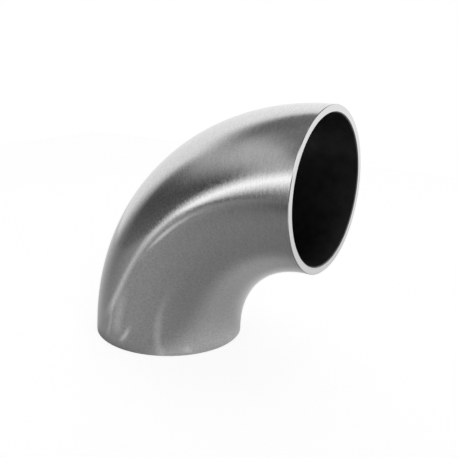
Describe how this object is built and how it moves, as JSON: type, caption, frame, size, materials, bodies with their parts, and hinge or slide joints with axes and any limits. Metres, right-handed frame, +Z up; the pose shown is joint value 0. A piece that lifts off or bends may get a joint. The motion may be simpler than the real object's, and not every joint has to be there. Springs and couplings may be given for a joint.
{
  "type": "ninety degree elbow",
  "caption": "Butt-weld pipe elbow: a round thin-wall stainless steel tube formed through a quarter turn, with square-faced open ends.",
  "frame": {"origin": "centre of the lower end face, on the axis of the lower bore", "axes": "+Z runs up the lower bore's axis into the elbow, +X is the way the upper end faces, and the bend lies in the XZ plane"},
  "size_m": [0.0692, 0.0424, 0.0692],
  "materials": {
    "satin_stainless_steel": "satin, linished in fine lines round the tube; ends faced bright; bore left dull as formed"
  },
  "bodies": {
    "root": {"elbow": "satin_stainless_steel"}
  },
  "joints": []
}
